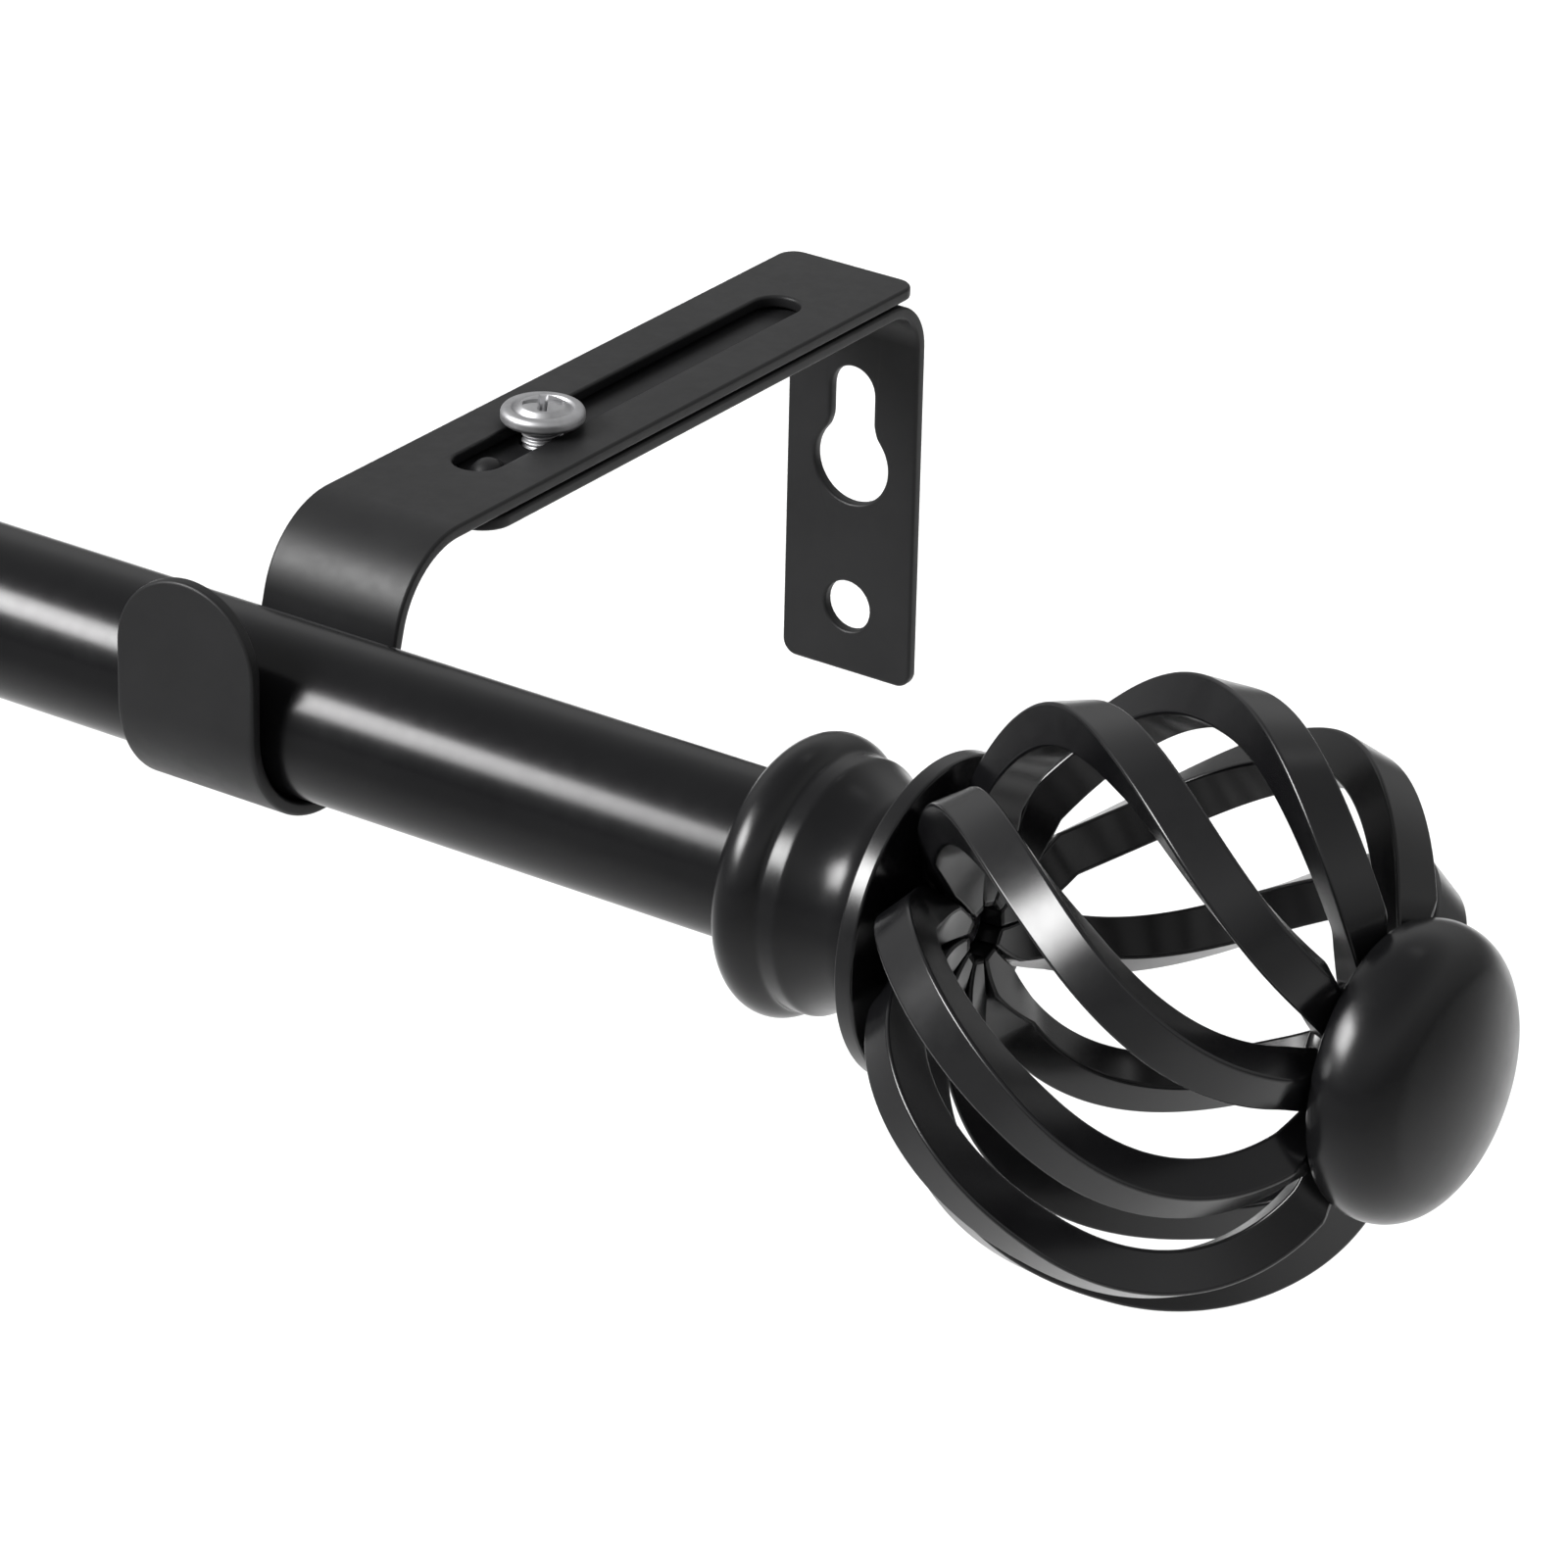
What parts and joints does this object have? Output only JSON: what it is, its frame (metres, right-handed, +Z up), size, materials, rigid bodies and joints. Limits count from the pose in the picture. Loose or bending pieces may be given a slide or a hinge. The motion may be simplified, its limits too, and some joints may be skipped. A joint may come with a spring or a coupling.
{
  "type": "curtain rod",
  "caption": "Telescoping curtain rod on two adjustable strap brackets with rod hooks, ended by twisted open-cage finials with collars and round knobs.",
  "frame": {"origin": "on the back face of the right wall plate, on its middle line between the keyhole and the lower screw hole", "axes": "+X along the rod towards the right finial, +Y into the wall, +Z up"},
  "size_m": [0.5732, 0.1509, 0.0719],
  "materials": {
    "strap_black": "satin powder coat",
    "rod_black": "semi-gloss enamel",
    "cast_black": "semi-gloss enamel on a casting",
    "bar_black": "satin, faintly brushed under the coat",
    "zinc_screw": "bright zinc plate",
    "steel": "plain threaded steel",
    "black_plastic": "moulded nylon",
    "plug_plastic": "moulded nylon"
  },
  "bodies": {
    "wall_plates": {"wall_plate_right": "strap_black", "wall_plate_left": "strap_black"},
    "arm_right": {"arm_right": "strap_black"},
    "arm_left": {"arm_left": "strap_black"},
    "screw_right": {"adjusting_screw_right": "zinc_screw"},
    "screw_left": {"adjusting_screw_left": "zinc_screw"},
    "outer_rod": {"outer_tube": "rod_black", "mouth_bush": "black_plastic", "end_plug_right": "plug_plastic"},
    "inner_rod": {"inner_tube": "rod_black", "sliding_guide": "plug_plastic", "end_plug_left": "plug_plastic"},
    "collar_right": {"collar_right": "cast_black"},
    "collar_left": {"collar_left": "cast_black"},
    "finial_right": {"stud_right": "steel", "cage_hub_right": "bar_black", "cage_cap_right": "bar_black", "knob_right": "cast_black", "cage_bar_right_1": "bar_black", "cage_bar_right_2": "bar_black", "cage_bar_right_3": "bar_black", "cage_bar_right_4": "bar_black", "cage_bar_right_5": "bar_black", "cage_bar_right_6": "bar_black", "cage_bar_right_7": "bar_black", "cage_bar_right_8": "bar_black", "cage_bar_right_9": "bar_black", "cage_bar_right_10": "bar_black"},
    "finial_left": {"stud_left": "steel", "cage_hub_left": "bar_black", "cage_cap_left": "bar_black", "knob_left": "cast_black", "cage_bar_left_1": "bar_black", "cage_bar_left_2": "bar_black", "cage_bar_left_3": "bar_black", "cage_bar_left_4": "bar_black", "cage_bar_left_5": "bar_black", "cage_bar_left_6": "bar_black", "cage_bar_left_7": "bar_black", "cage_bar_left_8": "bar_black", "cage_bar_left_9": "bar_black", "cage_bar_left_10": "bar_black"}
  },
  "joints": [
    {"name": "arm_slide", "type": "slide", "parent": "wall_plates", "child": "arm_right", "axis": [0, -1, 0], "range_m": [-0.0015, 0.047]},
    {"name": "arm_slide_left", "type": "slide", "parent": "wall_plates", "child": "arm_left", "axis": [0, -1, 0], "range_m": [-0.0015, 0.047]},
    {"name": "screw_turn_right", "type": "hinge", "parent": "wall_plates", "child": "screw_right", "pos_m": [0, -0.0652, 0.0375], "axis": [0, 0, 1], "range_deg": [-120, 720]},
    {"name": "screw_turn_left", "type": "hinge", "parent": "wall_plates", "child": "screw_left", "pos_m": [-0.26, -0.0652, 0.0375], "axis": [0, 0, 1], "range_deg": [-120, 720]},
    {"name": "rod_lift", "type": "slide", "parent": "arm_right", "child": "outer_rod", "axis": [0, 0, 1], "range_m": [0, 0.04]},
    {"name": "telescope", "type": "slide", "parent": "outer_rod", "child": "inner_rod", "axis": [-1, 0, 0], "range_m": [0, 0.3]},
    {"name": "finial_right_travel", "type": "slide", "parent": "outer_rod", "child": "collar_right", "axis": [1, 0, 0], "range_m": [0, 0.0101]},
    {"name": "finial_right_turn", "type": "hinge", "parent": "collar_right", "child": "finial_right", "pos_m": [0.1, -0.118, 0.0225], "axis": [1, 0, 0], "range_deg": [0, 3600]},
    {"name": "finial_left_travel", "type": "slide", "parent": "inner_rod", "child": "collar_left", "axis": [-1, 0, 0], "range_m": [0, 0.0101]},
    {"name": "finial_left_turn", "type": "hinge", "parent": "collar_left", "child": "finial_left", "pos_m": [-0.36, -0.118, 0.0225], "axis": [-1, 0, 0], "range_deg": [0, 3600]}
  ],
  "couplings": [
    {"joint": "arm_slide_left", "follows": "arm_slide", "ratio": 1},
    {"joint": "finial_right_travel", "follows": "finial_right_turn", "m_per_rad": 0.00015915},
    {"joint": "finial_left_travel", "follows": "finial_left_turn", "m_per_rad": 0.00015915}
  ]
}
